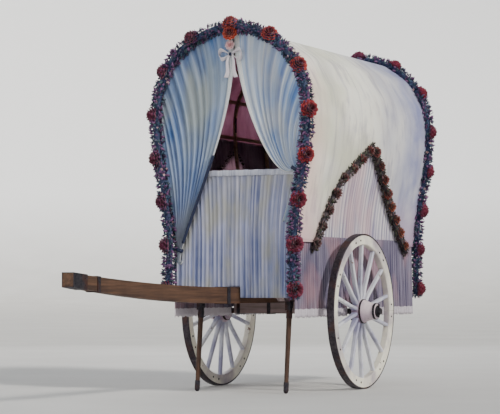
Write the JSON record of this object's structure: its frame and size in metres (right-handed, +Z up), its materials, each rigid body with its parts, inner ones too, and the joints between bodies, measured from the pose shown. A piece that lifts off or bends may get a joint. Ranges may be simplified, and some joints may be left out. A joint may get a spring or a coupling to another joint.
{
  "type": "two-wheeled covered ox wagon",
  "caption": "Two-wheeled covered wagon with a draught pole, horseshoe canvas cover on wooden hoops, curtains, pleated skirts and flower garlands.",
  "frame": {"origin": "on the ground under the middle of the whole length, between the wheels", "axes": "+X forward along the draught pole, +Y to the left along the axle, +Z up"},
  "size_m": [6.0774, 1.974, 3.5498],
  "materials": {
    "wheel_paint": "chalky cream paint over turned and sawn wood, worn at the edges",
    "iron": "dark forged iron, rubbed on the tread",
    "timber": "dark weathered oak, straight grain",
    "boards": "brown sawn boards",
    "bent_wood": "bare bent ash",
    "canvas": "cream-white canvas, plain weave",
    "skirt_cloth": "pleated pale lilac cotton with a lace hem",
    "valance_cloth": "pleated pale blue-white cotton",
    "curtain_lace": "pale blue cotton curtains with white lace",
    "garland": "red paper flowers on dark green and blue foliage",
    "ribbon": "white satin ribbon"
  },
  "bodies": {
    "root": {"axle": "iron", "axle_bolster": "timber", "axle_straps": "iron", "bow_front": "ribbon", "bow_rear": "ribbon", "cover": "canvas", "cross_bearers": "timber", "curtain_front_left": "curtain_lace", "curtain_front_right": "curtain_lace", "curtain_rear_left": "curtain_lace", "curtain_rear_right": "curtain_lace", "floor_planks": "boards", "front_boards": "boards", "front_rail": "boards", "garland_front": "garland", "garland_rear": "garland", "garland_side_left": "garland", "garland_side_right": "garland", "hoop_1": "bent_wood", "hoop_2": "bent_wood", "hoop_3": "bent_wood", "hoop_4": "bent_wood", "hoop_5": "bent_wood", "hoop_plates": "iron", "hoop_staples": "iron", "laths": "bent_wood", "linchpins": "iron", "pole": "timber", "pole_bands": "iron", "prop_brackets": "iron", "rear_boards": "boards", "rear_rail": "boards", "side_beam_left": "timber", "side_beam_right": "timber", "side_frame_left": "boards", "side_frame_right": "boards", "side_skirt_left": "skirt_cloth", "side_skirt_right": "skirt_cloth", "side_slats_left": "boards", "side_slats_right": "boards", "valance_front": "valance_cloth", "valance_rear": "valance_cloth"},
    "wheel_left": {"felloes_left": "wheel_paint", "hub_bands_left": "iron", "hub_left": "wheel_paint", "spokes_left": "wheel_paint", "tyre_left": "iron"},
    "wheel_right": {"felloes_right": "wheel_paint", "hub_bands_right": "iron", "hub_right": "wheel_paint", "spokes_right": "wheel_paint", "tyre_right": "iron"},
    "prop_left": {"prop_iron_left": "iron", "prop_leg_left": "timber"},
    "prop_right": {"prop_iron_right": "iron", "prop_leg_right": "timber"}
  },
  "joints": [
    {"name": "wheel_left_spin", "type": "hinge", "parent": "root", "child": "wheel_left", "pos_m": [-1.1613, 0.78, 0.76], "axis": [0, 1, 0], "continuous": true},
    {"name": "prop_left_fold", "type": "hinge", "parent": "root", "child": "prop_left", "pos_m": [-0.1613, 0.47, 0.825], "axis": [0, 1, 0], "range_deg": [0, 96]},
    {"name": "wheel_right_spin", "type": "hinge", "parent": "root", "child": "wheel_right", "pos_m": [-1.1613, -0.78, 0.76], "axis": [0, 1, 0], "continuous": true},
    {"name": "prop_right_fold", "type": "hinge", "parent": "root", "child": "prop_right", "pos_m": [-0.1613, -0.47, 0.825], "axis": [0, 1, 0], "range_deg": [0, 96]}
  ]
}
